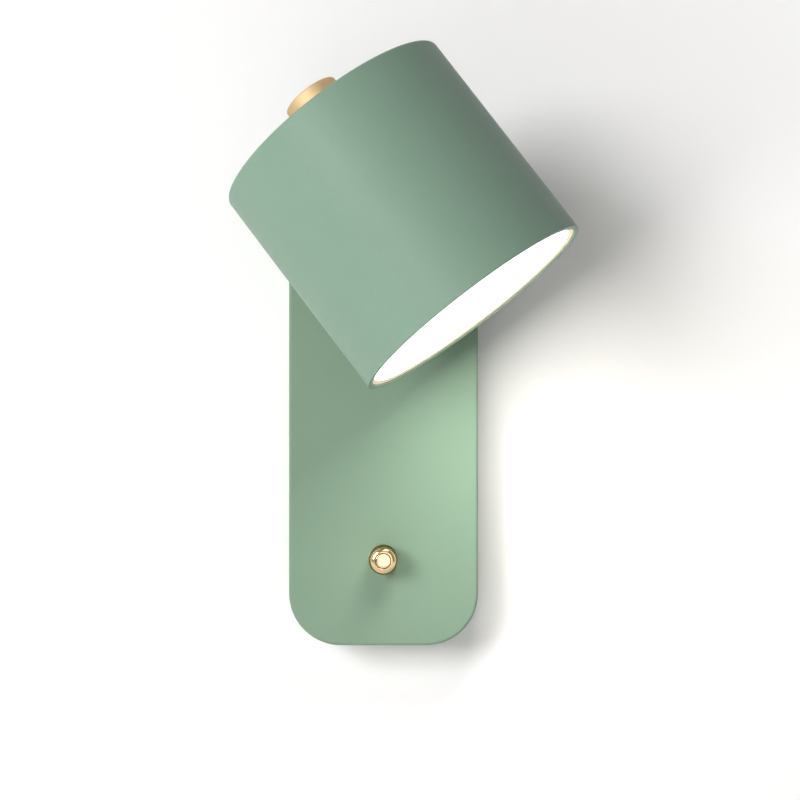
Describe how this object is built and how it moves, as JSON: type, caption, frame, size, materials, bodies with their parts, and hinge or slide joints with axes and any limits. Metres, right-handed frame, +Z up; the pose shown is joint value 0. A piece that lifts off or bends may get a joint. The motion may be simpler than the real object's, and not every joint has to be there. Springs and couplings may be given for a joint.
{
  "type": "wall reading lamp",
  "caption": "Bedside wall reading lamp: rounded wall plate, drum shade on a pan and tilt joint, opal LED disc, turned dimmer knob.",
  "frame": {"origin": "on the wall plane, midway between the two fixing slots and at the middle of the wall plate", "axes": "+Z up, +Y into the wall, +X to the right of someone facing the lamp; the lamp stands out along -Y"},
  "size_m": [0.1335, 0.156, 0.24],
  "materials": {
    "canopy_paint": "sage green powder coat, fine matt grain",
    "shade_paint": "sage green powder coat, fine matt grain",
    "brass_polished": "turned and polished, clear lacquer",
    "brass_satin": "turned, satin",
    "zinc_steel": "bright zinc plated",
    "spring_steel": "plain",
    "aluminium": "die cast, as cast",
    "opal": "opal acrylic, satin, lit from behind",
    "cream_ring": "moulded, cream",
    "reflector_white": "moulded, high white",
    "board_white": "white solder mask",
    "chip_yellow": "phosphor under silicone",
    "gap_pad": "grey silicone",
    "white_plastic": "moulded nylon",
    "black_plastic": "moulded",
    "natural_nylon": "moulded nylon, natural",
    "black_rubber": "moulded",
    "board_green": "green solder mask",
    "ferrite": "ferrite with taped winding",
    "can_sleeve": "shrink sleeve",
    "wire_brown": "PVC insulation",
    "wire_earth": "green and yellow PVC insulation",
    "wire_white": "silicone sheath"
  },
  "bodies": {
    "base": {"canopy": "canopy_paint", "wall_bracket": "zinc_steel", "canopy_screws": "zinc_steel", "cable_grommet": "black_rubber", "terminal_block": "white_plastic", "terminal_sleeves": "brass_satin", "terminal_screws": "zinc_steel", "terminal_fixing_screw": "zinc_steel", "earth_washer": "spring_steel", "earth_tag": "zinc_steel", "earth_screw": "brass_satin", "earth_lead": "wire_earth", "driver_tray": "white_plastic", "driver_case": "white_plastic", "driver_board": "board_green", "driver_transformer": "ferrite", "driver_capacitor": "can_sleeve", "driver_screws": "zinc_steel", "mains_leads": "wire_brown", "output_lead": "wire_white", "dimmer_housing": "black_plastic", "dimmer_washer": "spring_steel", "dimmer_bushing": "brass_satin", "dimmer_nut": "brass_satin", "dimmer_terminals": "brass_satin", "dimmer_leads": "wire_brown", "post_bush": "natural_nylon", "pan_slip_washer": "natural_nylon", "pan_stop_pin": "zinc_steel"},
    "arm": {"pivot_post": "brass_satin", "pan_spring_washer": "spring_steel", "pan_stop_washer": "zinc_steel", "pan_nut": "zinc_steel", "pan_lock_nut": "zinc_steel", "post_lead": "wire_white"},
    "head": {"shade": "shade_paint", "top_knob": "brass_polished", "knob_stud": "zinc_steel", "heat_sink": "aluminium", "thermal_pad": "gap_pad", "led_board": "board_white", "led_chips": "chip_yellow", "board_screws": "zinc_steel", "reflector": "reflector_white", "diffuser": "opal", "diffuser_ring": "cream_ring", "head_knuckle": "brass_satin", "knuckle_washer": "aluminium", "knuckle_nut": "zinc_steel", "tilt_screws": "brass_satin", "tilt_washers": "natural_nylon", "head_lead": "wire_white"},
    "dimmer": {"dimmer_knob": "brass_polished", "knob_cap": "brass_polished", "dimmer_shaft": "brass_satin", "knob_grub_screw": "spring_steel"}
  },
  "joints": [
    {"name": "pan", "type": "hinge", "parent": "base", "child": "arm", "pos_m": [0, -0.025, 0.075], "axis": [0, -1, 0], "range_deg": [-207.1, 132.9]},
    {"name": "tilt", "type": "hinge", "parent": "arm", "child": "head", "pos_m": [0, -0.037, 0.075], "axis": [-0.7976, 0, -0.6032], "range_deg": [-21.8, 28.2]},
    {"name": "dimmer_turn", "type": "hinge", "parent": "base", "child": "dimmer", "pos_m": [0, -0.025, -0.073], "axis": [0, -1, 0], "range_deg": [0, 300]}
  ]
}
